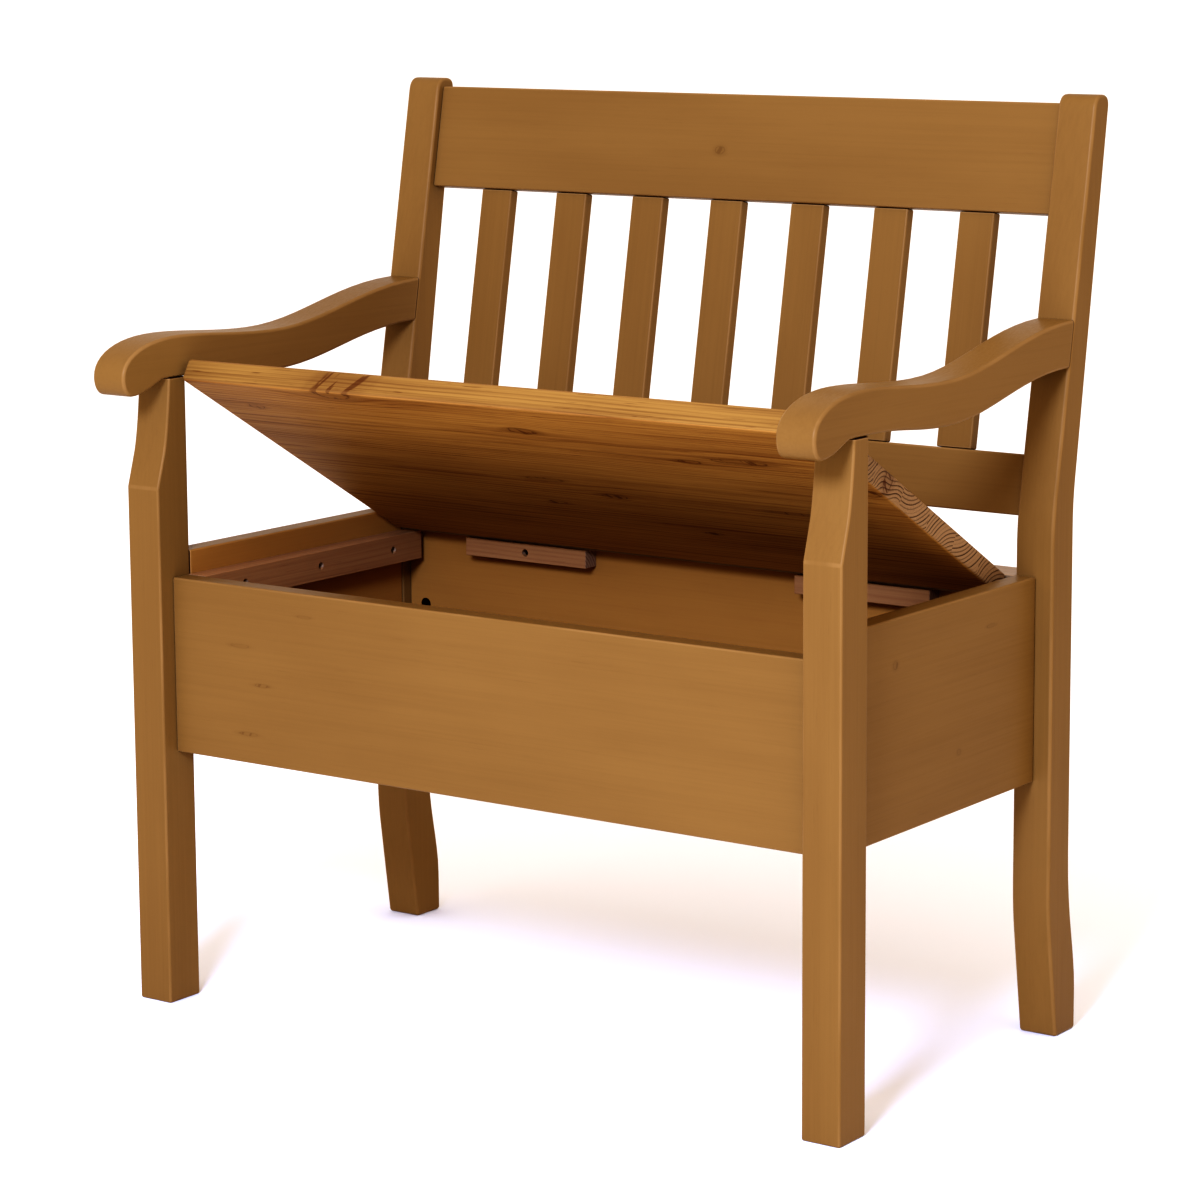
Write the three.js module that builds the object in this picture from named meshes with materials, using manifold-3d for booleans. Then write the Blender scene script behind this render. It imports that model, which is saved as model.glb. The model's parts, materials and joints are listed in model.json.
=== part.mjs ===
// Storage bench with a slatted back, curved arms and a hinged seat lid over a chest.
// Millimetres, +Z up, +X to the sitter's left hand as seen from the front, +Y to the back.
// Heights are measured from the floor and depths from the front face of the front legs.

import * as THREE from 'three';
import { mergeVertices } from 'three/addons/utils/BufferGeometryUtils.js';
import Module from 'manifold-3d';

const wasm = await Module();
wasm.setup();

// ---- Driving dimensions ----

const benchWidth = 880;
const stockWidth = 43;
const boardThickness = 24;
const fit = 0.3;

const outerFace = benchWidth / 2;
const innerFace = outerFace - stockWidth;
const stockCentre = (outerFace + innerFace) / 2;

const legDepth = 46;
const legTop = 664.7;
const armUnderside = legTop + fit;

const postFront = 397;
const postDepth = 43;
const postTop = 960;
const rakeStart = 534;
const rakeSlope = 0.183;
const rakeAngle = Math.atan(rakeSlope);

const chestBottom = 270;
const frontBoardTop = 456;
const sideBoardTop = 481;
const frontBoardFace = 18.5;
const backBoardFace = 411;
const sideBoardFace = innerFace + boardThickness;

const cleatWidth = 24;
const cleatHeight = 32;
const cleatTop = frontBoardTop;
const cleatBackEnd = 402;
const cleatScrewDepths = [105, 228, 352];

const blockLength = 165;
const blockHeight = 20;
const blockThickness = 20;
const blockCentre = 218;

const battenSize = 20;
const bottomThickness = 10;
const battenBottom = chestBottom + 2;

const stripFront = 394.8;
const stripBack = postFront + postDepth;
const stripTop = 480.3;

const lidWidth = 780;
const lidDepth = 403;
const lidOpenAngle = THREE.MathUtils.degToRad(30.2);
const hingeDepth = 394;
const hingeHeight = 484;
const lidBackGap = 0.8;
const lidTopDrop = 3.6;

const railThickness = 20;
const railInset = 8;
const lowerRail = { bottom: 7.5, top: 69.5 };
const topRail = { bottom: 312.5, top: 425.5 };

const slatCount = 7;
const slatPitch = 103;
const slatWidth = 41;
const slatThickness = 13;
const slatInset = railInset + 4;

// ---- Materials ----

const wood = (colour, roughness) => new THREE.MeshStandardMaterial({ color: colour, roughness, metalness: 0 });
const stainedPine = wood(0x9c6b36, 0.45);
const honeyPine = wood(0xbe8241, 0.5);
const rawPine = wood(0xb08a64, 0.75);
const steel = new THREE.MeshStandardMaterial({ color: 0xa8a49c, roughness: 0.35, metalness: 1 });

// ---- Solid helpers ----

function toSolid(geometry) {
  const bare = geometry.clone();
  bare.deleteAttribute('normal');
  bare.deleteAttribute('uv');
  const merged = mergeVertices(bare, 1e-4);
  return new wasm.Manifold(new wasm.Mesh({
    numProp: 3,
    vertProperties: new Float32Array(merged.attributes.position.array),
    triVerts: new Uint32Array(merged.index.array),
  }));
}

function toGeometry(solid) {
  const mesh = solid.getMesh();
  const geometry = new THREE.BufferGeometry();
  geometry.setAttribute('position', new THREE.BufferAttribute(mesh.vertProperties, 3));
  geometry.setIndex(new THREE.BufferAttribute(mesh.triVerts, 1));
  geometry.computeVertexNormals();
  return geometry;
}

function shaped(base, { add = [], cut = [] }) {
  let solid = toSolid(base);
  for (const piece of add) solid = solid.add(toSolid(piece));
  for (const piece of cut) solid = solid.subtract(toSolid(piece));
  return toGeometry(solid);
}

// A box between two limits on each axis, given in either order.
function box([xa, xb], [ya, yb], [za, zb]) {
  const geometry = new THREE.BoxGeometry(Math.abs(xb - xa), Math.abs(yb - ya), Math.abs(zb - za));
  return geometry.translate((xa + xb) / 2, (ya + yb) / 2, (za + zb) / 2);
}

function grown([low, high], amount) {
  return low < high ? [low - amount, high + amount] : [low + amount, high - amount];
}

// The same box with the assembly gap all round, for the mortise that takes it.
function mortise(xRange, yRange, zRange) {
  return box(grown(xRange, fit), grown(yRange, fit), grown(zRange, fit));
}

// A side-view outline, drawn as depth against height, given a thickness along X.
function sideProfile(shape, [xa, xb], curveSegments) {
  const low = Math.min(xa, xb);
  const geometry = new THREE.ExtrudeGeometry(shape, {
    depth: Math.abs(xb - xa), bevelEnabled: false, curveSegments,
  });
  const alongDepth = new THREE.Vector3(0, 1, 0);
  const alongHeight = new THREE.Vector3(0, 0, 1);
  const alongWidth = new THREE.Vector3(1, 0, 0);
  geometry.applyMatrix4(new THREE.Matrix4().makeBasis(alongDepth, alongHeight, alongWidth));
  return geometry.translate(low, 0, 0);
}

// A turned piece: radius and distance pairs, spun about an axis that leaves `at` along `direction`.
function turned(profile, at, direction, segments = 12) {
  const points = profile.map(([radius, distance]) => new THREE.Vector2(radius, distance));
  const geometry = new THREE.LatheGeometry(points, segments);
  const spin = new THREE.Quaternion().setFromUnitVectors(new THREE.Vector3(0, 1, 0), direction);
  geometry.applyQuaternion(spin);
  return geometry.translate(at.x, at.y, at.z);
}

function rod(radius, from, to, segments = 12) {
  const along = new THREE.Vector3().subVectors(to, from);
  const length = along.length();
  return turned([[0, 0], [radius, 0], [radius, length], [0, length]], from, along.normalize(), segments);
}

// ---- Assembly groups ----

const bench = new THREE.Group();
const rakedBack = new THREE.Group();
rakedBack.position.set(0, postFront, rakeStart);
rakedBack.rotation.x = -rakeAngle;
const openLid = new THREE.Group();
openLid.position.set(0, hingeDepth, hingeHeight);
openLid.rotation.x = -lidOpenAngle;
bench.add(rakedBack, openLid);

function place(name, geometry, material, group = bench) {
  const mesh = new THREE.Mesh(geometry, material);
  mesh.name = name;
  group.add(mesh);
}

const sides = [{ name: 'left', sign: -1 }, { name: 'right', sign: 1 }];

// ---- Joints shared by two pieces: each is a tenon on one and a mortise in the other ----

const frontBoardTenon = (sign) => [[sign * (innerFace - 1), sign * (innerFace + 10)], [22, 31], [300, 430]];
const sideTenonX = (sign) => [sign * (stockCentre - 10.5), sign * (stockCentre - 1)];
const sideBoardFrontTenon = (sign) => [sideTenonX(sign), [legDepth - 9, legDepth + 1], [300, 440]];
const sideBoardBackTenon = (sign) => [sideTenonX(sign), [postFront - 1, postFront + 9], [300, 440]];
const legTopTenon = (sign) => [[sign * (stockCentre - 9), sign * (stockCentre + 9)], [27, 41], [660, 680]];
const armBackTenon = (sign) => [[sign * (stockCentre - 6), sign * (stockCentre + 6)], [420, 446], [703, 727]];

const railTenonDepth = [railInset + 4, railInset + 16];
const railTenon = (sign, rail) => [
  [sign * (innerFace - 1), sign * (innerFace + 18)], railTenonDepth, [rail.bottom + 8, rail.top - 8],
];

const slatCentres = Array.from({ length: slatCount }, (_, i) => (i - (slatCount - 1) / 2) * slatPitch);
const slatTenonX = (centre) => [centre - slatWidth / 2 + 5, centre + slatWidth / 2 - 5];
const slatTenonY = [slatInset + 2.5, slatInset + slatThickness - 2.5];
const slatTenonLength = 10;

function inRakedBack(geometry) {
  const turn = new THREE.Matrix4().makeRotationX(-rakeAngle);
  return geometry.applyMatrix4(turn).translate(0, postFront, rakeStart);
}

// ---- Legs and posts ----

function frontLegOutline() {
  const neckBase = 551;
  const neckDepth = 21;
  const shape = new THREE.Shape();
  shape.moveTo(0, 0);
  shape.lineTo(legDepth, 0);
  shape.lineTo(legDepth, legTop);
  shape.lineTo(neckDepth, legTop);
  shape.quadraticCurveTo(17, 612, 11, 588);
  shape.lineTo(0, neckBase);
  return shape;
}

function frontLeg(sign) {
  const leg = sideProfile(frontLegOutline(), [sign * innerFace, sign * outerFace], 8);
  return shaped(leg, {
    add: [box(...legTopTenon(sign))],
    cut: [mortise(...frontBoardTenon(sign)), mortise(...sideBoardFrontTenon(sign))],
  });
}

// The post stands on a sabre foot, runs straight past the seat and leans back above it.
function backPostOutline() {
  const back = postFront + postDepth;
  const bend = 24;
  const backRakeStart = 554;
  const backRakeSlope = 0.157;
  const shoulder = postTop - 14;
  const frontAt = (height) => postFront + rakeSlope * (height - rakeStart);
  const backAt = (height) => back + backRakeSlope * (height - backRakeStart);
  const shape = new THREE.Shape();
  shape.moveTo(416, 0);
  shape.lineTo(457, 0);
  shape.lineTo(457, 42);
  shape.bezierCurveTo(457, 85, back, 120, back, 190);
  shape.lineTo(back, backRakeStart - bend);
  shape.quadraticCurveTo(back, backRakeStart, backAt(backRakeStart + bend), backRakeStart + bend);
  shape.lineTo(backAt(shoulder), shoulder);
  shape.quadraticCurveTo(backAt(postTop), postTop, backAt(postTop) - 13, postTop);
  shape.lineTo(frontAt(postTop) + 11, postTop);
  shape.quadraticCurveTo(frontAt(postTop), postTop, frontAt(shoulder), shoulder);
  shape.lineTo(frontAt(rakeStart + bend), rakeStart + bend);
  shape.quadraticCurveTo(postFront, rakeStart, postFront, rakeStart - bend);
  shape.lineTo(postFront, 165);
  shape.quadraticCurveTo(postFront, 135, 400.5, 110);
  return shape;
}

function backPost(sign) {
  const post = sideProfile(backPostOutline(), [sign * innerFace, sign * outerFace], 8);
  return shaped(post, {
    cut: [
      mortise(...sideBoardBackTenon(sign)),
      mortise(...armBackTenon(sign)),
      inRakedBack(mortise(...railTenon(sign, lowerRail))),
      inRakedBack(mortise(...railTenon(sign, topRail))),
      cornerBoltHole(sign),
    ],
  });
}

// ---- Armrests: a drooping round nose, a low hollow and a rise to the post ----

function armOutline() {
  const backTop = 738;
  const backBottom = 690;
  const postFaceAt = (height) => postFront + rakeSlope * (height - rakeStart) - fit;
  const shape = new THREE.Shape();
  shape.moveTo(-46.5, 670);
  shape.bezierCurveTo(-46.5, 694, -12, 708.5, 40, 708.5);
  shape.bezierCurveTo(85, 708.5, 130, 701.5, 185, 701.5);
  shape.bezierCurveTo(275, 701.5, 330, 736, postFaceAt(backTop), backTop);
  shape.lineTo(postFaceAt(backBottom), backBottom);
  shape.bezierCurveTo(330, backBottom, 272, 657.5, 190, 657.5);
  shape.bezierCurveTo(140, 657.5, 110, armUnderside, 62, armUnderside);
  shape.lineTo(15, armUnderside);
  shape.bezierCurveTo(5, 662.5, -12, 650.8, -32, 650.8);
  shape.bezierCurveTo(-42, 650.8, -46.5, 660, -46.5, 670);
  return shape;
}

function armrest(sign) {
  const arm = sideProfile(armOutline(), [sign * innerFace, sign * outerFace], 12);
  return shaped(arm, { add: [box(...armBackTenon(sign))], cut: [mortise(...legTopTenon(sign))] });
}

// ---- Raked back: two rails and the slats, drawn in the leaning plane of the posts ----

function rail({ bottom, top }, slatEdge, slatSide) {
  const end = innerFace - fit;
  const body = box([-end, end], [railInset, railInset + railThickness], [bottom, top]);
  const slatMortises = slatCentres.map((centre) => mortise(
    slatTenonX(centre), slatTenonY, [slatEdge - slatSide * slatTenonLength, slatEdge + slatSide],
  ));
  return shaped(body, {
    add: sides.map(({ sign }) => box(...railTenon(sign, { bottom, top }))),
    cut: slatMortises,
  });
}

function slat(centre) {
  const low = lowerRail.top + fit;
  const high = topRail.bottom - fit;
  const body = box(
    [centre - slatWidth / 2, centre + slatWidth / 2], [slatInset, slatInset + slatThickness], [low, high],
  );
  return shaped(body, {
    add: [
      box(slatTenonX(centre), slatTenonY, [low - slatTenonLength, low + 1]),
      box(slatTenonX(centre), slatTenonY, [high - 1, high + slatTenonLength]),
    ],
  });
}

// ---- Screws and knock-down fittings ----

const batten = { headRadius: 3.4, headDepth: 2.4, shankRadius: 1.9, length: 34, pocketRadius: 4.2, pocket: 5 };
const leafScrew = { headRadius: 2.9, headDepth: 1.3, shankRadius: 1.5, length: 13 };
const screwGap = 0.15;

// A pan-head screw sunk in a pocket; `at` is on the surface and `inward` points into the wood.
function battenScrew(at, inward) {
  const { headRadius, headDepth, shankRadius, length, pocket } = batten;
  const slot = box([-0.5, 0.5], [pocket - 1, pocket + 0.8], [-headRadius, headRadius]);
  const facing = new THREE.Quaternion().setFromUnitVectors(new THREE.Vector3(0, 1, 0), inward);
  slot.applyQuaternion(facing);
  slot.translate(at.x, at.y, at.z);
  const body = turned([
    [0, pocket], [headRadius, pocket], [headRadius, pocket + headDepth],
    [shankRadius, pocket + headDepth], [shankRadius, length], [0, length + 2],
  ], at, inward);
  return shaped(body, { cut: [slot] });
}

function battenScrewHole(at, inward) {
  const { pocketRadius, headDepth, shankRadius, length, pocket } = batten;
  const floor = pocket + headDepth + screwGap;
  const bore = shankRadius + screwGap;
  return turned([
    [0, -1], [pocketRadius, -1], [pocketRadius, floor], [bore, floor], [bore, length + 3], [0, length + 3],
  ], at, inward);
}

// A countersunk screw flush with the hinge leaf.
function countersunkScrew(at, inward) {
  const { headRadius, headDepth, shankRadius, length } = leafScrew;
  return turned([
    [0, 0.1], [headRadius, 0.1], [shankRadius, headDepth], [shankRadius, length], [0, length + 1.5],
  ], at, inward);
}

function countersunkHole(at, inward) {
  const { headRadius, headDepth, shankRadius, length } = leafScrew;
  const bore = shankRadius + screwGap;
  return turned([
    [0, -1], [headRadius + 0.3, -1], [headRadius + 0.3, 0.1], [bore, headDepth + 0.2],
    [bore, length + 2], [0, length + 2],
  ], at, inward);
}

// A cam in the back board's face grips a bolt that comes out of the post.
const camCentre = 375;
const camRadius = 6.5;
const camDepth = 12;
const boltHeight = 370;
const boltRadius = 3;
const boltLine = backBoardFace + 7;
const boltInnerEnd = camCentre + 1;
const boltOuterEnd = innerFace + 19;

function cornerBolt(sign) {
  const from = new THREE.Vector3(sign * boltInnerEnd, boltLine, boltHeight);
  const to = new THREE.Vector3(sign * boltOuterEnd, boltLine, boltHeight);
  return rod(boltRadius, from, to);
}

function cornerBoltHole(sign) {
  const from = new THREE.Vector3(sign * (boltInnerEnd - 1), boltLine, boltHeight);
  const to = new THREE.Vector3(sign * (boltOuterEnd + 1), boltLine, boltHeight);
  return rod(boltRadius + fit, from, to);
}

function cornerCam(sign) {
  const face = new THREE.Vector3(sign * camCentre, backBoardFace + 0.5, boltHeight);
  const floor = new THREE.Vector3(sign * camCentre, backBoardFace + camDepth, boltHeight);
  const body = rod(camRadius, face, floor, 20);
  const slotDepth = [backBoardFace - 1, backBoardFace + 2.5];
  const slots = [[3.6, 0.7], [0.7, 3.6]].map(([halfX, halfZ]) => box(
    [sign * camCentre - halfX, sign * camCentre + halfX], slotDepth, [boltHeight - halfZ, boltHeight + halfZ],
  ));
  return shaped(body, { cut: [...slots, cornerBoltHole(sign)] });
}

function cornerCamHole(sign) {
  const from = new THREE.Vector3(sign * camCentre, backBoardFace - 1, boltHeight);
  const to = new THREE.Vector3(sign * camCentre, backBoardFace + camDepth + fit, boltHeight);
  return rod(camRadius + fit, from, to, 20);
}

// ---- Chest ----

const boardEnd = innerFace - fit;
const blockFace = backBoardFace - fit - blockThickness;

const cleatScrewSeats = (sign) => cleatScrewDepths.map((depth) => ({
  at: new THREE.Vector3(sign * (innerFace - fit - cleatWidth), depth, cleatTop - cleatHeight / 2),
  inward: new THREE.Vector3(sign, 0, 0),
}));

const blockScrewSeat = (sign) => ({
  at: new THREE.Vector3(sign * blockCentre, blockFace, cleatTop - blockHeight / 2),
  inward: new THREE.Vector3(0, 1, 0),
});

function frontBoard() {
  const faces = [frontBoardFace, frontBoardFace + boardThickness];
  return shaped(box([-boardEnd, boardEnd], faces, [chestBottom, frontBoardTop]), {
    add: sides.map(({ sign }) => box(...frontBoardTenon(sign))),
  });
}

function sideBoard(sign) {
  const lengthwise = [legDepth + fit, postFront - fit];
  const body = box([sign * innerFace, sign * sideBoardFace], lengthwise, [chestBottom, sideBoardTop]);
  return shaped(body, {
    add: [box(...sideBoardFrontTenon(sign)), box(...sideBoardBackTenon(sign))],
    cut: cleatScrewSeats(sign).map(({ at, inward }) => battenScrewHole(at, inward)),
  });
}

function backBoard() {
  const faces = [backBoardFace, backBoardFace + boardThickness];
  const body = box([-boardEnd, boardEnd], faces, [chestBottom, cleatTop]);
  const blockScrewHoles = sides.map(({ sign }) => blockScrewSeat(sign));
  return shaped(body, {
    cut: [
      ...blockScrewHoles.map(({ at, inward }) => battenScrewHole(at, inward)),
      ...sides.map(({ sign }) => cornerCamHole(sign)),
      ...sides.map(({ sign }) => cornerBoltHole(sign)),
    ],
  });
}

function bottomBoard() {
  const low = battenBottom + battenSize + fit;
  const front = frontBoardFace + boardThickness + fit;
  const back = backBoardFace - fit;
  return box([-boardEnd, boardEnd], [front, back], [low, low + bottomThickness]);
}

function bottomCleat(front) {
  return box([-boardEnd, boardEnd], [front, front + battenSize], [battenBottom, battenBottom + battenSize]);
}

function sideCleat(sign) {
  const wall = innerFace - fit;
  const lengthwise = [frontBoardFace + boardThickness + fit, cleatBackEnd];
  const body = box([sign * wall, sign * (wall - cleatWidth)], lengthwise, [cleatTop - cleatHeight, cleatTop]);
  return shaped(body, { cut: cleatScrewSeats(sign).map(({ at, inward }) => battenScrewHole(at, inward)) });
}

function backBlock(sign) {
  const half = blockLength / 2;
  const body = box(
    [sign * blockCentre - half, sign * blockCentre + half],
    [blockFace, blockFace + blockThickness], [cleatTop - blockHeight, cleatTop],
  );
  const { at, inward } = blockScrewSeat(sign);
  return shaped(body, { cut: [battenScrewHole(at, inward)] });
}

// ---- Hinges: leaves let into the facing edges of lid and strip, barrel on top ----

const hingeCentre = 250;
const knuckleCount = 5;
const knuckleLength = 12;
const barrelRadius = 3.4;
const pinRadius = 1.5;
const pinBore = 1.56;
const leafWidth = knuckleCount * knuckleLength;
const leafNear = 0.3;
const leafFar = 1.9;
const leafBottom = -23;
const leafShoulder = -(barrelRadius + 0.4);
const leafScrewHeight = -14;
const leafScrewOffset = 20;

// Both leaves are drawn about the pin line as closed, `facing` +1 for the strip and -1 for the lid.
function leafKnuckles(facing) {
  const mine = facing > 0 ? 0 : 1;
  const spans = Array.from({ length: knuckleCount }, (_, i) => i).filter((i) => i % 2 === mine);
  return spans.map((i) => [
    -leafWidth / 2 + i * knuckleLength + 0.15, -leafWidth / 2 + (i + 1) * knuckleLength - 0.15,
  ]);
}

const leafScrewSeats = (centre, facing) => [-leafScrewOffset, leafScrewOffset].map((offset) => ({
  at: new THREE.Vector3(centre + offset, facing * leafNear, leafScrewHeight),
  inward: new THREE.Vector3(0, facing, 0),
}));

function hingeLeaf(centre, facing) {
  const thickness = [facing * leafNear, facing * leafFar];
  const plate = box(
    [centre - leafWidth / 2, centre + leafWidth / 2], thickness, [leafBottom, leafShoulder],
  );
  const knuckles = leafKnuckles(facing);
  const tabs = knuckles.map(([from, to]) => box([centre + from, centre + to], thickness, [leafShoulder - 1, 0]));
  const barrels = knuckles.map(([from, to]) => rod(
    barrelRadius, new THREE.Vector3(centre + from, 0, 0), new THREE.Vector3(centre + to, 0, 0), 16,
  ));
  const bore = rod(
    pinBore, new THREE.Vector3(centre - leafWidth, 0, 0), new THREE.Vector3(centre + leafWidth, 0, 0), 16,
  );
  const screwHoles = leafScrewSeats(centre, facing).map(({ at, inward }) => countersunkHole(at, inward));
  return shaped(plate, { add: [...tabs, ...barrels], cut: [bore, ...screwHoles] });
}

function hingePin(centre) {
  const half = leafWidth / 2;
  const headRadius = 2.6;
  const headLength = 1.2;
  const end = half + headLength + 0.2;
  return turned([
    [0, -end], [headRadius, -end], [headRadius, -half - 0.2], [pinRadius, -half - 0.2],
    [pinRadius, half + 0.2], [headRadius, half + 0.2], [headRadius, end], [0, end],
  ], new THREE.Vector3(centre, 0, 0), new THREE.Vector3(1, 0, 0), 16);
}

// The shallow pocket and screw holes that one leaf needs in the wood behind it.
function leafPocket(centre, facing) {
  const half = leafWidth / 2 + fit;
  return [
    box([centre - half, centre + half], [0, facing * (leafFar + fit)], [leafBottom - fit, 1]),
    ...leafScrewSeats(centre, facing).map(({ at, inward }) => countersunkHole(at, inward)),
  ];
}

const hingeCentres = sides.map(({ sign }) => sign * hingeCentre);

function rearStrip() {
  const faces = [stripFront, stripBack];
  const body = box([-boardEnd, boardEnd], faces, [stripTop - boardThickness, stripTop]);
  const pockets = hingeCentres.flatMap((centre) => leafPocket(centre, 1));
  return shaped(body, { cut: pockets.map((pocket) => pocket.translate(0, hingeDepth, hingeHeight)) });
}

function lidPanel() {
  const body = box(
    [-lidWidth / 2, lidWidth / 2], [-lidBackGap - lidDepth, -lidBackGap],
    [-lidTopDrop - boardThickness, -lidTopDrop],
  );
  return shaped(body, { cut: hingeCentres.flatMap((centre) => leafPocket(centre, -1)) });
}

// ---- Assembly ----

for (const { name, sign } of sides) {
  place(`front_leg_${name}`, frontLeg(sign), stainedPine);
  place(`back_post_${name}`, backPost(sign), stainedPine);
  place(`armrest_${name}`, armrest(sign), stainedPine);
  place(`side_board_${name}`, sideBoard(sign), stainedPine);
  place(`side_cleat_${name}`, sideCleat(sign), rawPine);
  place(`back_block_${name}`, backBlock(sign), rawPine);
  place(`corner_cam_${name}`, cornerCam(sign), steel);
  place(`corner_bolt_${name}`, cornerBolt(sign), steel);
  cleatScrewSeats(sign).forEach(({ at, inward }, i) => {
    place(`side_cleat_screw_${name}_${i + 1}`, battenScrew(at, inward), steel);
  });
  const { at, inward } = blockScrewSeat(sign);
  place(`back_block_screw_${name}`, battenScrew(at, inward), steel);
}

place('front_board', frontBoard(), stainedPine);
place('back_board', backBoard(), stainedPine);
place('bottom_board', bottomBoard(), rawPine);
place('bottom_cleat_front', bottomCleat(frontBoardFace + boardThickness + fit), rawPine);
place('bottom_cleat_back', bottomCleat(backBoardFace - fit - battenSize), rawPine);
place('rear_seat_strip', rearStrip(), honeyPine);

place('back_lower_rail', rail(lowerRail, lowerRail.top, 1), stainedPine, rakedBack);
place('back_top_rail', rail(topRail, topRail.bottom, -1), stainedPine, rakedBack);
slatCentres.forEach((centre, i) => place(`back_slat_${i + 1}`, slat(centre), stainedPine, rakedBack));

place('lid', lidPanel(), honeyPine, openLid);

const hingeLine = new THREE.Group();
hingeLine.position.set(0, hingeDepth, hingeHeight);
bench.add(hingeLine);

for (const { name, sign } of sides) {
  const centre = sign * hingeCentre;
  place(`hinge_${name}_fixed_leaf`, hingeLeaf(centre, 1), steel, hingeLine);
  place(`hinge_${name}_moving_leaf`, hingeLeaf(centre, -1), steel, openLid);
  place(`hinge_${name}_pin`, hingePin(centre), steel, hingeLine);
  leafScrewSeats(centre, 1).forEach(({ at, inward }, i) => {
    place(`hinge_${name}_fixed_screw_${i + 1}`, countersunkScrew(at, inward), steel, hingeLine);
  });
  leafScrewSeats(centre, -1).forEach(({ at, inward }, i) => {
    place(`hinge_${name}_moving_screw_${i + 1}`, countersunkScrew(at, inward), steel, openLid);
  });
}

// The origin is under the middle of the whole bench, on the floor.
const extent = new THREE.Box3().setFromObject(bench);
bench.position.y = -(extent.min.y + extent.max.y) / 2;

export default bench;
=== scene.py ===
"""Looks for the storage bench: rounded timber with its own grain, hardware, floor, light and camera.

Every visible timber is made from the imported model's own solid, with its edges eased and its grain
laid along the board, so all sizes and places come from the frame. Metres, +Z up, +Y to the back.
"""

import json
import math
import random

import bmesh
import bpy
from mathutils import Matrix, Vector

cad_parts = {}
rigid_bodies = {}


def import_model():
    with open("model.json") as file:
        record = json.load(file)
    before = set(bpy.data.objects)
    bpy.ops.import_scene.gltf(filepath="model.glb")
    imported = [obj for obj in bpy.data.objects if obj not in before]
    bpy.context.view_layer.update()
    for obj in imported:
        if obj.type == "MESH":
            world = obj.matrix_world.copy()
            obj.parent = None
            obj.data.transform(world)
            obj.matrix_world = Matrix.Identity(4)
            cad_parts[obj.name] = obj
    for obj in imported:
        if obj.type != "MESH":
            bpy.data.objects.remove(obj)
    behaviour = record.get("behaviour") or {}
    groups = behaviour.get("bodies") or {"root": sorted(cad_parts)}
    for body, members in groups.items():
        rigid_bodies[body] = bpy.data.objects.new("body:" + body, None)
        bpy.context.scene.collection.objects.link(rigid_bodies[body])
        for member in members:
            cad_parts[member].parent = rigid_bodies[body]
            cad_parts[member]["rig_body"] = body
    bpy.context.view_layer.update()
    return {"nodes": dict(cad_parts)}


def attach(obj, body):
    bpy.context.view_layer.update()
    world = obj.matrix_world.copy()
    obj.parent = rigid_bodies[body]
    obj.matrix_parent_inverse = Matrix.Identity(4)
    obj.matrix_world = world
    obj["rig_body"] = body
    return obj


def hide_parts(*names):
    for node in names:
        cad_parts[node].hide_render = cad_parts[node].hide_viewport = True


MM = 0.001

# The bench as its solids are drawn: the lean of its back and lid, where a front leg meets the arm and
# starts to narrow, behind which place an arm's edges meet the post, and a core clear of the chest's walls.
BACK_LEAN = math.atan(0.183)
LID_OPEN = math.radians(30.2)
LEG_TOP = 664.7 * MM
NECK_BASE = 551 * MM
ARM_END = 190 * MM
CHEST_CORE = 100 * MM

# How close two places are to count as one, and how much an edge bends to count as each kind.
WELD = 0.005 * MM
TOUCH = 0.05 * MM
FLAT = math.radians(0.3)
CREASE = math.radians(10)
SHADED_SHARP = math.radians(30)
RIDGE = math.radians(40)
CORNER = math.radians(60)

# How squarely a face looks along the grain, across it or to the back.
END_FACING = 0.8
EDGE_FACING = 0.7
REAR_FACING = 0.8

# Rounding of the edges, and how much flat faces outweigh it in the shading.
EDGE_STEPS = 4
FLAT_WEIGHT = 80

# The centre of a stave's rings: sideways in stave widths, deep in mm, and how far up its log in metres.
HEART_ASIDE = (0.3, 0.9)
HEART_DEPTH = (28, 52)
HEART_START = (3, 30)

# The distance that stands for a timber without visible joints, in metres.
NO_JOINT = 1.0

# Boards: the finish, the material if it isn't the finish itself, and the chest's inner material, a
# lighter copy of the stain that paints light on the faces inside the chest, then the axes that the
# grain, the width and the thickness follow, how far the board's own axes lean, and the tenons'
# length, the eased edges' radius and the staves' width in mm.
BOARDS = {
    "front_board": dict(
        finish="stained_pine", look="stained_front", inside="stained_inner_painted_light",
        axes="XZY", tenon=10.3, radius=2.2,
    ),
    "back_board": dict(finish="stained_pine", inside="stained_inner_painted_light", axes="XZY", radius=1.2),
    "side_board": dict(
        finish="stained_pine", look="stained_side", inside="stained_inner_painted_light",
        axes="YZX", tenon=9.3, radius=2.2,
    ),
    "back_lower_rail": dict(finish="stained_pine", axes="XZY", lean=BACK_LEAN, tenon=18.3, radius=2.2),
    "back_top_rail": dict(
        finish="stained_pine", look="stained_top_rail",
        axes="XZY", lean=BACK_LEAN, tenon=18.3, radius=2.2,
    ),
    "back_slat": dict(finish="stained_pine", axes="ZXY", lean=BACK_LEAN, tenon=10, radius=1.8),
    "lid": dict(
        finish="honey_pine", look="knotty_honey_pine",
        axes="XYZ", lean=LID_OPEN, radius=3.5, stave=62,
    ),
    "rear_seat_strip": dict(finish="honey_pine", look="glossy_strip_painted_glare", axes="XYZ", radius=1.5),
    "side_cleat": dict(finish="raw_pine", axes="YZX", radius=0.8),
    "back_block": dict(finish="raw_pine", axes="XZY", radius=0.8),
    "bottom_board": dict(finish="raw_pine", axes="XYZ", radius=0.5, stave=90),
    "bottom_cleat": dict(finish="raw_pine", axes="XYZ", radius=0.5),
}

# Shaped timbers: an outline sawn through a plank, with both its sides eased.
SHAPED = {
    "front_leg": dict(finish="stained_pine", axes="ZXY", radius=2.5),
    "back_post": dict(finish="stained_pine", axes="ZXY", radius=3.5),
    "armrest": dict(finish="stained_pine", axes="YXZ", radius=3.5),
}


# ---- Geometry of the timber ----


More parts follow.
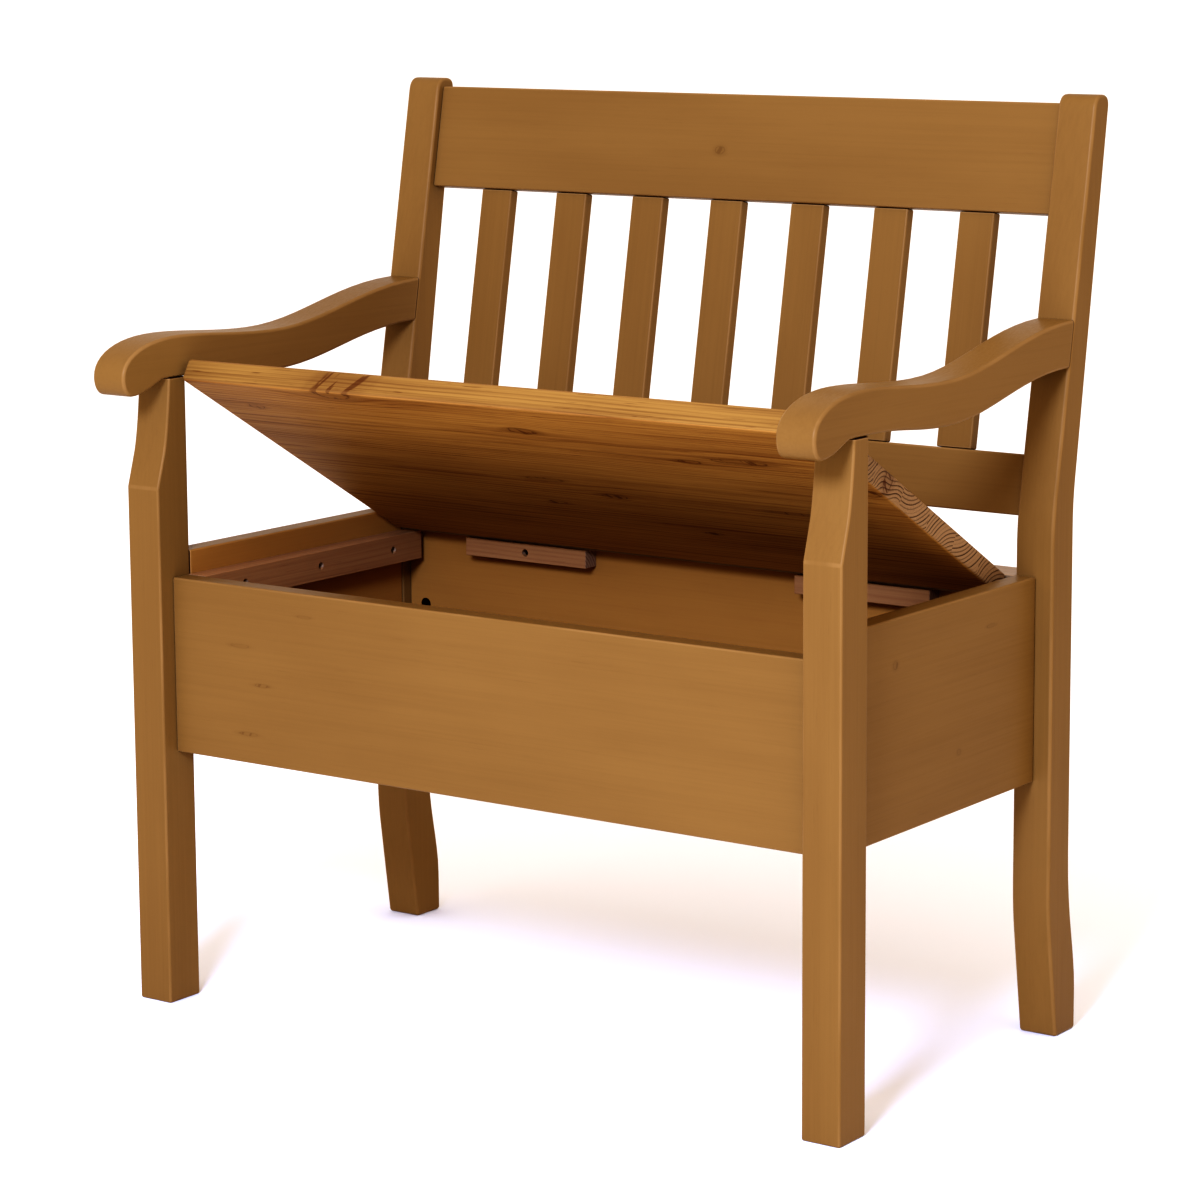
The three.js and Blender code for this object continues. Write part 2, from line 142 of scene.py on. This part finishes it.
def joined(mesh):
    """The solid as one skin: corners joined and flat faces made whole again."""
    bm = bmesh.new()
    bm.from_mesh(mesh)
    bmesh.ops.remove_doubles(bm, verts=bm.verts, dist=WELD)
    bmesh.ops.dissolve_limit(bm, angle_limit=FLAT, verts=bm.verts, edges=bm.edges)
    return bm


def extent(bm):
    """The lowest and the highest corner of the solid's box."""
    low = Vector([min(v.co[i] for v in bm.verts) for i in range(3)])
    high = Vector([max(v.co[i] for v in bm.verts) for i in range(3)])
    return low, high


def is_ridge(edge, least=RIDGE):
    """Whether the skin bends outwards here by more than this angle."""
    return len(edge.link_faces) == 2 and edge.calc_face_angle_signed() > least


def board_edges(bm, low, high):
    """The edges of the board's box between its shoulders, leaving its tenons and holes crisp."""
    chosen = []
    for edge in bm.edges:
        planes = 0
        for axis in range(3):
            for limit in (low[axis], high[axis]):
                planes += all(abs(v.co[axis] - limit) < TOUCH for v in edge.verts)
        if planes >= 2 and is_ridge(edge):
            chosen.append(edge)
    return chosen


def longest_loop(edges):
    """Of the loops that these edges form, the longest, which runs round the outside."""
    by_vertex = {}
    for edge in edges:
        for vertex in edge.verts:
            by_vertex.setdefault(vertex, []).append(edge)
    left, best, best_length = set(edges), [], 0.0
    while left:
        chain, queue = [], [left.pop()]
        while queue:
            edge = queue.pop()
            chain.append(edge)
            for vertex in edge.verts:
                for other in by_vertex[vertex]:
                    if other in left:
                        left.remove(other)
                        queue.append(other)
        length = sum(edge.calc_length() for edge in chain)
        if length > best_length:
            best, best_length = chain, length
    return best


def on_crease(edge):
    """The crease where a front leg starts to narrow towards the arm."""
    return all(abs(v.co.z - NECK_BASE) < TOUCH for v in edge.verts) and is_ridge(edge, CREASE)


def meets_neighbour(edge, kind):
    """Edges that butt against another timber, which stay crisp."""
    if kind == "front_leg":
        return all(abs(v.co.z - LEG_TOP) < TOUCH for v in edge.verts)
    if kind == "armrest":
        return all(v.co.y > ARM_END for v in edge.verts)
    return False


def joint_faces(bm, low, high, kind, spec):
    """Where this timber goes into its neighbours: a point on each joint and the way it faces."""
    if kind == "front_leg":
        return [(Vector((0, 0, LEG_TOP)), Vector((0, 0, 1)))]
    if kind == "armrest":
        rear = [face for face in bm.faces if face.normal.y > REAR_FACING]
        end = max(rear, key=lambda face: face.calc_area())
        return [(end.verts[0].co.copy(), end.normal.copy())]
    if "tenon" not in spec:
        return []
    along = "XYZ".index(spec["axes"][0])
    joints = []
    for side, limit in ((-1, low), (1, high)):
        place, facing = limit.copy(), Vector((0, 0, 0))
        place[along] -= side * spec["tenon"] * MM
        facing[along] = side
        joints.append((place, facing))
    return joints


def shaped_edges(bm, low, high, kind):
    """The outline's edges on both sides, and the corners that cross it, such as those of a foot."""
    chosen = []
    for side in (low.x, high.x):
        flat = [
            edge for edge in bm.edges
            if all(abs(v.co.x - side) < TOUCH for v in edge.verts) and is_ridge(edge, CORNER)
        ]
        chosen += longest_loop(flat)
    width = high.x - low.x
    for edge in bm.edges:
        crosses = abs(edge.verts[0].co.x - edge.verts[1].co.x) > width - TOUCH
        if crosses and (is_ridge(edge) or kind == "front_leg" and on_crease(edge)):
            chosen.append(edge)
    return [edge for edge in chosen if not meets_neighbour(edge, kind)]


def ease(bm, edges, radius):
    """Rounds the edges and marks the crest of each rounding in a layer, for wear and a painted highlight.
    """
    worn_lit_crest = bm.verts.layers.float.new("worn_lit_crest")
    made = bmesh.ops.bevel(
        bm, geom=edges, offset=radius * MM, offset_type="OFFSET", segments=EDGE_STEPS,
        profile=0.5, affect="EDGES", clamp_overlap=False,
    )
    strip = set(made["faces"])
    for vertex in made["verts"]:
        if vertex.is_valid and all(face in strip for face in vertex.link_faces):
            vertex[worn_lit_crest] = 1.0


def split(bm, axis, place):
    """Cuts the skin at a plane, so that a value can change its slope there."""
    point, normal = Vector((0, 0, 0)), Vector((0, 0, 0))
    point[axis], normal[axis] = place, 1.0
    everything = bm.verts[:] + bm.edges[:] + bm.faces[:]
    bmesh.ops.bisect_plane(bm, geom=everything, plane_co=point, plane_no=normal, dist=TOUCH)


def lay_grain(bm, low, high, spec, joints, seed):
    """Stores where each point is in its timber, for the materials to read.

    'board' runs along the grain, across the width and through the thickness from the board's
    middle. 'heart' is the same with each stave's own distance from the centre of its rings.
    'end' is 1 on end grain, 'edge' is 1 on the board's long edges, and 'gap' is the distance from
    the nearest joint.
    """
    draw = random.Random(seed)
    axes = ["XYZ".index(letter) for letter in spec["axes"]]
    middle = (low + high) / 2
    along, across = axes[0], axes[1]
    width = high[across] - low[across]
    staves = max(1, round(width / (spec["stave"] * MM))) if "stave" in spec else 1
    for i in range(1, staves):
        split(bm, across, low[across] + width * i / staves)
    if len(joints) == 2:
        split(bm, along, middle[along])
    hearts = []
    for i in range(staves):
        sideways = draw.uniform(*HEART_ASIDE) * draw.choice((-1, 1)) * width / staves
        depth = draw.uniform(*HEART_DEPTH) * MM * (-1) ** i
        start = low[across] + width * (i + 0.5) / staves - middle[across]
        hearts.append(Vector((draw.uniform(*HEART_START), -start - sideways, depth)))
    board = bm.loops.layers.float_vector.new("board")
    heart = bm.loops.layers.float_vector.new("heart")
    end = bm.loops.layers.float.new("end")
    edge = bm.loops.layers.float.new("edge")
    gap = bm.loops.layers.float.new("gap")
    for face in bm.faces:
        place = (face.calc_center_bounds()[across] - low[across]) / width * staves
        shift = hearts[min(staves - 1, max(0, int(place)))]
        for loop in face.loops:
            here = Vector([loop.vert.co[axis] - middle[axis] for axis in axes])
            loop[board] = here
            loop[heart] = here + shift
            loop[end] = float(abs(face.normal[along]) > END_FACING)
            loop[edge] = float(abs(face.normal[across]) > EDGE_FACING)
            distances = [(point - loop.vert.co).dot(facing) for point, facing in joints]
            loop[gap] = min(distances, default=NO_JOINT)


def faces_inside(polygon):
    """Whether this face of a chest board looks at the middle of the chest."""
    normal, place = polygon.normal, polygon.center
    return normal.x * place.x + normal.y * place.y < -CHEST_CORE


def timber(name, kind, spec, seed):
    """Replaces one CAD timber with its eased and grained copy."""
    node = frame["nodes"][name]
    bm = joined(node.data)
    lean = Matrix.Rotation(spec.get("lean", 0.0), 4, "X")
    bm.transform(lean)
    low, high = extent(bm)
    if kind in SHAPED:
        edges = shaped_edges(bm, low, high, kind)
    else:
        grain = "XYZ".index(spec["axes"][0])
        shoulder = Vector((0, 0, 0))
        shoulder[grain] = spec.get("tenon", 0.0) * MM
        edges = board_edges(bm, low + shoulder, high - shoulder)
    joints = joint_faces(bm, low, high, kind, spec)
    ease(bm, edges, spec["radius"])
    lay_grain(bm, low, high, spec, joints, seed)
    bm.transform(lean.inverted())
    for face in bm.faces:
        face.smooth = True
    for edge in bm.edges:
        edge.smooth = len(edge.link_faces) == 2 and edge.calc_face_angle(0.0) < SHADED_SHARP
    mesh = bpy.data.meshes.new(name + "_eased")
    bm.to_mesh(mesh)
    bm.free()
    piece = bpy.data.objects.new(name + "_eased", mesh)
    bpy.context.scene.collection.objects.link(piece)
    crisp = piece.modifiers.new("flat_faces", "WEIGHTED_NORMAL")
    crisp.keep_sharp = True
    crisp.weight = FLAT_WEIGHT
    mesh.materials.append(materials[spec.get("look", spec["finish"])])
    # Faces inside the chest take the lighter inner material: painted light where the lid and walls shade
    # them.
    if "inside" in spec:
        mesh.materials.append(materials[spec["inside"]])
        for polygon in mesh.polygons:
            polygon.material_index = int(faces_inside(polygon))
    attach(piece, node["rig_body"])
    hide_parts(name)


# ---- Materials ----

# Noise textures in the wood: cycles per metre along the grain, across the board and through it.
FIBRES = (9, 900, 900)
STREAKS = (3, 240, 240)
HAIRLINES = (26, 700, 700)
CLOUDS = (2.5, 9, 9)
PORES = (20, 1500, 1500)
CREST_PATCHES = (9, 40, 40)
RING_BENDS = (1.6, 7, 7)
KNOT_EDGES = (90, 90, 40)
KNOT_STROKES = (150, 45, 25)

# Noise textures on metal and paint: cycles per metre along X, Y and Z.
BRUSHING = (900, 3000, 900)
TARNISH = (60, 60, 60)
MOTTLE = (1.5, 1.5, 1.5)

# Spans of a texture's values, from where its effect begins to where it is full.
BROAD = (0.3, 0.7)
UPPER = (0.35, 0.75)
HAIRLINE_SPAN = (0.66, 0.74)
TARNISH_SPAN = (0.35, 0.7)
POLISH_SPAN = (0.6, 1.4)

# Annual rings: how far a texture bends them, when late wood darkens and ends within a year, and how
# much the years differ in strength.
RING_WANDER = (0, 14 * MM, 14 * MM)
NOISE_MIDDLE = (0.5, 0.5, 0.5)
LATE_WOOD = (0.45, 0.9)
YEAR_END = (1.0, 0.93)
YEAR_STRENGTH = (-0.4, 1.0)

# What each texture adds to the dark tone, where it is low and where it is high.
STREAK_TONE = (-0.15, 0.6)
FIBRE_TONE = (-0.15, 0.3)
CLOUD_TONE = (-0.05, 0.25)
PORE_TONE = (0.0, 0.35)

# What a hairline adds to the dark tone, and the power that thins the rings on end grain.
HAIRLINE_TONE = 0.9
END_RING_POWER = 1.35

# Grain in the surface: polish added to the roughness, and depths as shares of the relief.
FIBRE_POLISH = (-0.05, 0.06)
RING_DEPTH = -2.0
HAIRLINE_DEPTH = 0.5

# How much of the lighter wear colour shows on the crest of an edge and beside a joint, and the
# distances from the joint between which that rim and then the dark joint line appear. The crest and
# the rim are partly wear and partly painted highlight; the joint line is dirt and painted shade.
EDGE_WEAR_AND_HIGHLIGHT = (0.04, 0.24)
LIT_WORN_RIM_SHARE = (0.0, 0.35)
LIT_WORN_RIM_SPAN = (2.2 * MM, 0.9 * MM)
JOINT_DIRT_AND_SHADE_SPAN = (0.9 * MM, 0.45 * MM)

# Knots: how they lean through the board, and the dark strokes in them.
KNOT_SLANT = -0.9
STROKE_TURN = math.radians(28)
STROKE_SPAN = (0.56, 0.63)
STROKE_DARKNESS = 0.75

# Where a knot's rim breaks up, and how dark it and the halo round it are.
BREAK_SPAN = (0.3, 0.55)
BREAK_DARKNESS = (0.25, 1.0)
HALO_DARKNESS = (0.0, 0.2)

# A knot's parts, in knot radii: its ragged outline, its wood, its rim and its halo, and how fast the
# grain's bend round it dies away.
KNOT_RAGGEDNESS = 0.9
KNOT_AREA = (1.5, 1.25)
KNOT_RIM = (1.15, 1.35)
KNOT_HALO = (2.2, 1.3)
PUSH_FALL = -0.22

# Each knot's place along and across the board from its middle, half length and half width, in mm.
LID_KNOTS = [
    (-320, -143, 11, 6), (24, -142, 20, 8), (-34, -9, 26, 5), (-59, 57, 13, 4), (202, -101, 16, 5),
    (266, -112, 38, 6), (36, 22, 18, 6), (266, 19, 40, 4), (110, 104, 12, 4), (-181, -201, 29, 17),
    (385, -60, 14, 9),
]
SIDE_KNOTS = [(-106, 60, 5, 4), (14, -46, 4, 3), (74, 70, 9, 2)]
TOP_RAIL_KNOTS = [(-3, -4, 7, 5)]
FRONT_KNOTS = [(-294, 30, 14, 2), (-266, -9, 12, 2), (-207, 69, 10, 1.5), (-286, -62, 15, 2)]


def srgb(red, green, blue):
    """A colour as it looks on screen, 0 to 255, turned into the linear values that shaders take."""
    def linear(value):
        value /= 255
        return value / 12.92 if value <= 0.04045 else ((value + 0.055) / 1.055) ** 2.4
    return (linear(red), linear(green), linear(blue), 1.0)


def scaled(amounts, factor):
    return [amount * factor for amount in amounts]


class Graph:
    """Adds and links shader nodes; any input may be a plain value or another node's output."""

    def __init__(self, name):
        self.material = bpy.data.materials.new(name)
        self.material.use_nodes = True
        self.tree = self.material.node_tree
        self.tree.nodes.clear()

    def add(self, kind, inputs, **settings):
        node = self.tree.nodes.new(kind)
        for key, value in settings.items():
            setattr(node, key, value)
        for key, value in inputs.items():
            if isinstance(value, bpy.types.NodeSocket):
                self.tree.links.new(value, node.inputs[key])
            else:
                node.inputs[key].default_value = value
        return node

    def attribute(self, name):
        return self.add("ShaderNodeAttribute", {}, attribute_name=name)

    def math(self, operation, a, b=0.0, clamp=False):
        return self.add("ShaderNodeMath", {0: a, 1: b}, operation=operation, use_clamp=clamp).outputs[0]

    def squares(self, a, b):
        """The sum of the squares of a and b."""
        return self.math("ADD", self.math("MULTIPLY", a, a), self.math("MULTIPLY", b, b))

    def vector(self, operation, a, b):
        return self.add("ShaderNodeVectorMath", {0: a, 1: b}, operation=operation).outputs[0]

    def noise(self, place, stretch, detail=2.0, roughness=0.5):
        stretched = self.vector("MULTIPLY", place, stretch)
        settings = {"Vector": stretched, "Scale": 1.0, "Detail": detail, "Roughness": roughness}
        return self.add("ShaderNodeTexNoise", settings)

    def smooth(self, value, span, amounts=(0.0, 1.0)):
        """Runs smoothly from the first amount to the second as the value crosses the span."""
        settings = {
            "Value": value, "From Min": span[0], "From Max": span[1],
            "To Min": amounts[0], "To Max": amounts[1],
        }
        return self.add("ShaderNodeMapRange", settings, interpolation_type="SMOOTHSTEP").outputs[0]

    def mix(self, factor, a, b, blend="MIX"):
        node = self.add("ShaderNodeMix", {0: factor, 6: a, 7: b}, data_type="RGBA", blend_type=blend)
        return node.outputs[2]

    def finish(self, colour, roughness, height, relief, **constants):
        """Ends the material; 'relief' is the depth of its surface in mm."""
        bump = self.add("ShaderNodeBump", {"Height": height, "Strength": 1.0, "Distance": relief * MM})
        shader = self.add("ShaderNodeBsdfPrincipled", {
            "Base Color": colour, "Roughness": roughness, "Normal": bump.outputs[0],
        })
        for key, value in constants.items():
            shader.inputs[key.replace("_", " ")].default_value = value
        output = self.add("ShaderNodeOutputMaterial", {"Surface": shader.outputs[0]})
        output.is_active_output = True
        return self.material


def knot_field(g, board, knots):
    """Returns how far knots push the grain aside, and how dark their heartwood makes the wood."""
    flat = g.add("ShaderNodeSeparateXYZ", {0: board})
    across, through = flat.outputs[1], flat.outputs[2]
    slanted = g.math("ADD", flat.outputs[0], g.math("MULTIPLY", through, KNOT_SLANT))
    leaning = g.add("ShaderNodeCombineXYZ", {0: slanted, 1: across, 2: through}).outputs[0]
    ragged = g.noise(leaning, KNOT_EDGES, detail=3).outputs["Fac"]
    turned = g.add("ShaderNodeVectorRotate", {"Vector": leaning, "Angle": STROKE_TURN}).outputs[0]
    strokes = g.smooth(g.noise(turned, KNOT_STROKES, detail=1).outputs["Fac"], STROKE_SPAN)
    breaks = g.smooth(ragged, BREAK_SPAN, BREAK_DARKNESS)
    push, darkness = 0.0, 0.0
    for knot_along, knot_across, half_length, half_width in knots:
        u = g.math("DIVIDE", g.math("SUBTRACT", slanted, knot_along * MM), half_length * MM)
        aside = g.math("SUBTRACT", across, knot_across * MM)
        v = g.math("DIVIDE", aside, half_width * MM)
        square = g.squares(u, v)
        reach = g.math("EXPONENT", g.math("MULTIPLY", square, PUSH_FALL))
        push = g.math("ADD", g.math("MULTIPLY", aside, reach), push)
        radius = g.math("ADD", g.math("SQRT", square), g.math("MULTIPLY", ragged, KNOT_RAGGEDNESS))
        area = g.smooth(radius, KNOT_AREA)
        halo = g.smooth(radius, KNOT_HALO, HALO_DARKNESS)
        rim = g.math("MULTIPLY", g.smooth(radius, KNOT_RIM), g.math("MULTIPLY", area, breaks))
        inside = g.math("MULTIPLY", area, g.math("MULTIPLY", strokes, STROKE_DARKNESS))
        dark = g.math("MAXIMUM", halo, g.math("MAXIMUM", rim, inside))
        darkness = g.math("MAXIMUM", dark, darkness)
    return push, darkness


def ring_lines(g, heart, push, ring):
    """Dark late wood of each year, from the distance to the heart."""
    bends = g.noise(heart, RING_BENDS, detail=3).outputs["Color"]
    wander = g.vector("MULTIPLY", g.vector("SUBTRACT", bends, NOISE_MIDDLE), RING_WANDER)
    around = g.add("ShaderNodeSeparateXYZ", {0: g.vector("ADD", heart, wander)})
    aside = g.math("SUBTRACT", around.outputs[1], push)
    radius = g.math("SQRT", g.squares(aside, around.outputs[2]))
    phase = g.math("DIVIDE", radius, ring * MM)
    year = g.math("FLOOR", phase)
    season = g.math("FRACT", phase)
    ending = g.math("MULTIPLY", g.smooth(season, LATE_WOOD), g.smooth(season, YEAR_END))
    vigour = g.add("ShaderNodeTexWhiteNoise", {"W": year}, noise_dimensions="1D").outputs["Value"]
    return g.math("MULTIPLY", ending, g.smooth(vigour, YEAR_STRENGTH))


def pine(
    name, early, late, contrast, rings, ring, roughness, relief, sheen,
    knot=None, knots=(), end_early=None, end_late=None, edge=None, wear_and_highlight=None,
):
    """Pine: annual rings round the heart, fibres, hairlines, end grain, knots, edge crests and joint rims
    that are wear and painted highlight, and dark joints of dirt and painted shade.

    The wood runs from 'early' to 'late' in colour. 'rings' is how dark the annual rings are, and
    'contrast' how dark the finer figure is. 'ring' is the rings' spacing and 'relief' the depth of the
    grain in the surface, in mm. 'edge' is a colour multiplied into the faces across the board, which
    paints shade on them.
    """
    g = Graph(name)
    heart = g.attribute("heart").outputs["Vector"]
    gap = g.attribute("gap").outputs["Fac"]
    push, darkness = 0.0, 0.0
    if knots:
        push, darkness = knot_field(g, g.attribute("board").outputs["Vector"], knots)
    lines = ring_lines(g, heart, push, ring)

    fibre = g.noise(heart, FIBRES, detail=4, roughness=0.6).outputs["Fac"]
    streak = g.noise(heart, STREAKS, detail=5, roughness=0.6).outputs["Fac"]
    hairs = g.smooth(g.noise(heart, HAIRLINES, detail=2).outputs["Fac"], HAIRLINE_SPAN)
    cloud = g.noise(heart, CLOUDS, detail=3).outputs["Fac"]

    tone = g.math("MULTIPLY", lines, rings)
    tone = g.math("ADD", tone, g.smooth(streak, UPPER, scaled(STREAK_TONE, contrast)))
    tone = g.math("ADD", tone, g.smooth(fibre, BROAD, scaled(FIBRE_TONE, contrast)))
    tone = g.math("ADD", tone, g.math("MULTIPLY", hairs, HAIRLINE_TONE * contrast))
    tone = g.math("ADD", tone, g.smooth(cloud, BROAD, CLOUD_TONE), clamp=True)
    colour = g.mix(tone, early, late)
    # Faces across the board are multiplied by the 'edge' colour: painted shade that darkens and cools the
    # lid's brightly lit edges.
    if edge:
        shaded_edge_faces = g.attribute("edge").outputs["Fac"]
        colour = g.mix(shaded_edge_faces, colour, edge, "MULTIPLY")
    if end_early:
        on_end = g.attribute("end").outputs["Fac"]
        pores = g.noise(heart, PORES, detail=2).outputs["Fac"]
        thin = g.math("POWER", lines, END_RING_POWER)
        cut = g.math("ADD", thin, g.smooth(pores, UPPER, PORE_TONE), clamp=True)
        colour = g.mix(on_end, colour, g.mix(cut, end_early, end_late))
    if knots:
        colour = g.mix(darkness, colour, knot)
    # Lighter colour on the crests of eased edges and on a rim beside each joint: partly wear, partly
    # painted highlight.
    if wear_and_highlight:
        crest_patches = g.noise(heart, CREST_PATCHES, detail=3).outputs["Fac"]
        crest = g.attribute("worn_lit_crest").outputs["Fac"]
        colour = g.mix(g.math("MULTIPLY", crest, g.smooth(crest_patches, BROAD, EDGE_WEAR_AND_HIGHLIGHT)), colour, wear_and_highlight)
        # The rim beside a joint: partly wear, partly painted highlight.
        colour = g.mix(g.smooth(gap, LIT_WORN_RIM_SPAN, LIT_WORN_RIM_SHARE), colour, wear_and_highlight)
    # A dark line at each joint: dirt and painted shade in the groove where two eased edges meet.
    colour = g.mix(g.smooth(gap, JOINT_DIRT_AND_SHADE_SPAN), colour, JOINT_DIRT_AND_SHADE_COLOUR)

    polish = g.smooth(fibre, BROAD, [roughness + amount for amount in FIBRE_POLISH])
    height = g.math("ADD", g.math("MULTIPLY", lines, RING_DEPTH * rings), fibre)
    height = g.math("SUBTRACT", height, g.math("MULTIPLY", hairs, HAIRLINE_DEPTH))
    return g.finish(colour, polish, height, relief, Specular_IOR_Level=sheen)


def steel(name, bright, dull, polish):
    """Steel: brushed, with patches of tarnish."""
    g = Graph(name)
    place = g.add("ShaderNodeTexCoord", {}).outputs["Object"]
    brushed = g.noise(place, BRUSHING, detail=3).outputs["Fac"]
    tarnish = g.noise(place, TARNISH, detail=3).outputs["Fac"]
    colour = g.mix(g.smooth(tarnish, TARNISH_SPAN), bright, dull)
    roughness = g.smooth(g.math("ADD", brushed, tarnish), POLISH_SPAN, (polish, polish + 0.2))
    return g.finish(colour, roughness, brushed, relief=0.02, Metallic=1.0)


def floor_paint(name):
    """Matt white paint, faintly mottled."""
    g = Graph(name)
    place = g.add("ShaderNodeTexCoord", {}).outputs["Object"]
    mottle = g.noise(place, MOTTLE, detail=2).outputs["Fac"]
    colour = g.mix(mottle, (0.93, 0.93, 0.93, 1), (0.96, 0.96, 0.96, 1))
    return g.finish(colour, roughness=0.9, height=mottle, relief=0.01, Specular_IOR_Level=0.1)


# The dark joint line's colour: dirt and painted shade.
JOINT_DIRT_AND_SHADE_COLOUR = srgb(54, 31, 13)
# The stain's lighter edge colour on crests and joint rims is partly wear and partly painted highlight.
STAIN = dict(
    early=srgb(130, 97, 51), late=srgb(109, 77, 37), knot=srgb(104, 72, 34), wear_and_highlight=srgb(172, 134, 86),
    contrast=0.16, rings=0.05, ring=4.2, roughness=0.38, relief=0.04, sheen=0.07,
)
# A lighter copy of the stain for the faces inside the chest: painted light.
INNER_PAINTED_LIGHT = dict(STAIN, early=srgb(163, 116, 56), late=srgb(138, 92, 43))
# The honey pine's 'edge' colour darkens the lid's front and back edges: painted shade.
HONEY = dict(
    early=srgb(170, 124, 61), late=srgb(106, 58, 22), knot=srgb(80, 38, 12), wear_and_highlight=srgb(172, 132, 76),
    end_early=srgb(164, 130, 90), end_late=srgb(64, 38, 20), edge=(0.73, 0.79, 0.87, 1.0),
    contrast=0.56, rings=0.36, ring=4.2, roughness=0.5, relief=0.1, sheen=0.05,
)
# The rear strip's paler colour is painted glare; its higher sheen is real gloss.
STRIP_PAINTED_GLARE = dict(HONEY, early=srgb(170, 137, 96), late=srgb(134, 97, 59), sheen=0.6)
RAW = dict(
    early=srgb(160, 115, 69), late=srgb(128, 81, 45),
    end_early=srgb(160, 128, 96), end_late=srgb(110, 76, 48),
    contrast=0.4, rings=0.25, ring=3.6, roughness=0.7, relief=0.12, sheen=0.2,
)


def make_materials():
    return {
        "stained_pine": pine("stained_pine", **STAIN),
        "stained_front": pine("stained_front", knots=FRONT_KNOTS, **STAIN),
        "stained_side": pine("stained_side", knots=SIDE_KNOTS, **STAIN),
        "stained_top_rail": pine("stained_top_rail", knots=TOP_RAIL_KNOTS, **STAIN),
        "stained_inner_painted_light": pine("stained_inner_painted_light", **INNER_PAINTED_LIGHT),
        "honey_pine": pine("honey_pine", **HONEY),
        "knotty_honey_pine": pine("knotty_honey_pine", knots=LID_KNOTS, **HONEY),
        "glossy_strip_painted_glare": pine("glossy_strip_painted_glare", **STRIP_PAINTED_GLARE),
        "raw_pine": pine("raw_pine", **RAW),
        "steel": steel("steel", bright=srgb(196, 190, 178), dull=srgb(158, 150, 138), polish=0.22),
        "black_steel": steel("black_steel", bright=srgb(24, 20, 17), dull=srgb(10, 8, 7), polish=0.4),
    }


# ---- Room ----

FLOOR_RADIUS = 80
FLOOR_SIDES = 96
ROOM_COLOUR = (1.0, 0.93, 0.9, 1.0)
ROOM_STRENGTH = 0.77
KEY_PLACE = (0.9, -2.6, 1.9)
KEY_TARGET = (0, 0, 0.45)
KEY_SIZE = 0.8
KEY_POWER = 109
KEY_TINT = (0.46, 0.58, 1.0)
CAMERA_PLACE = (2.144, -2.941, 1.1068)
CAMERA_TURN = math.radians(33.72)
CAMERA_PITCH = math.radians(8.85)
LENS = 107.43
SENSOR_WIDTH = 36
LENS_SHIFT = (-0.12, -0.08)


def make_floor():
    bm = bmesh.new()
    bmesh.ops.create_circle(bm, cap_ends=True, segments=FLOOR_SIDES, radius=FLOOR_RADIUS)
    mesh = bpy.data.meshes.new("floor")
    bm.to_mesh(mesh)
    bm.free()
    mesh.materials.append(floor_paint("floor_paint"))
    floor = bpy.data.objects.new("floor", mesh)
    bpy.context.scene.collection.objects.link(floor)


def make_room_light():
    scene = bpy.context.scene
    scene.view_settings.view_transform = "Standard"
    scene.view_settings.look = "Very High Contrast"
    scene.world = bpy.data.worlds.new("studio")
    scene.world.use_nodes = True
    background = scene.world.node_tree.nodes["Background"]
    background.inputs["Color"].default_value = ROOM_COLOUR
    background.inputs["Strength"].default_value = ROOM_STRENGTH


def make_key_light():
    light = bpy.data.lights.new("key", "AREA")
    light.shape = "DISK"
    light.size = KEY_SIZE
    light.energy = KEY_POWER
    light.color = KEY_TINT
    holder = bpy.data.objects.new("key", light)
    holder.location = KEY_PLACE
    gaze = Vector(KEY_TARGET) - Vector(KEY_PLACE)
    holder.rotation_euler = gaze.to_track_quat("-Z", "Y").to_euler()
    bpy.context.scene.collection.objects.link(holder)


def make_camera():
    data = bpy.data.cameras.new("camera")
    data.sensor_width = SENSOR_WIDTH
    data.lens = LENS
    data.shift_x, data.shift_y = LENS_SHIFT
    camera = bpy.data.objects.new("camera", data)
    camera.location = CAMERA_PLACE
    camera.rotation_euler = (math.pi / 2 - CAMERA_PITCH, 0, CAMERA_TURN)
    bpy.context.scene.collection.objects.link(camera)
    bpy.context.scene.camera = camera


# ---- The scene ----

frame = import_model()
materials = make_materials()
for seed, name in enumerate(sorted(frame["nodes"])):
    for kind, spec in {**BOARDS, **SHAPED}.items():
        if name.startswith(kind) and "screw" not in name:
            timber(name, kind, spec, seed)
            break
    else:
        slots = frame["nodes"][name].data.materials
        slots.clear()
        slots.append(materials["steel" if name.startswith("hinge") else "black_steel"])

make_floor()
make_room_light()
make_key_light()
make_camera()
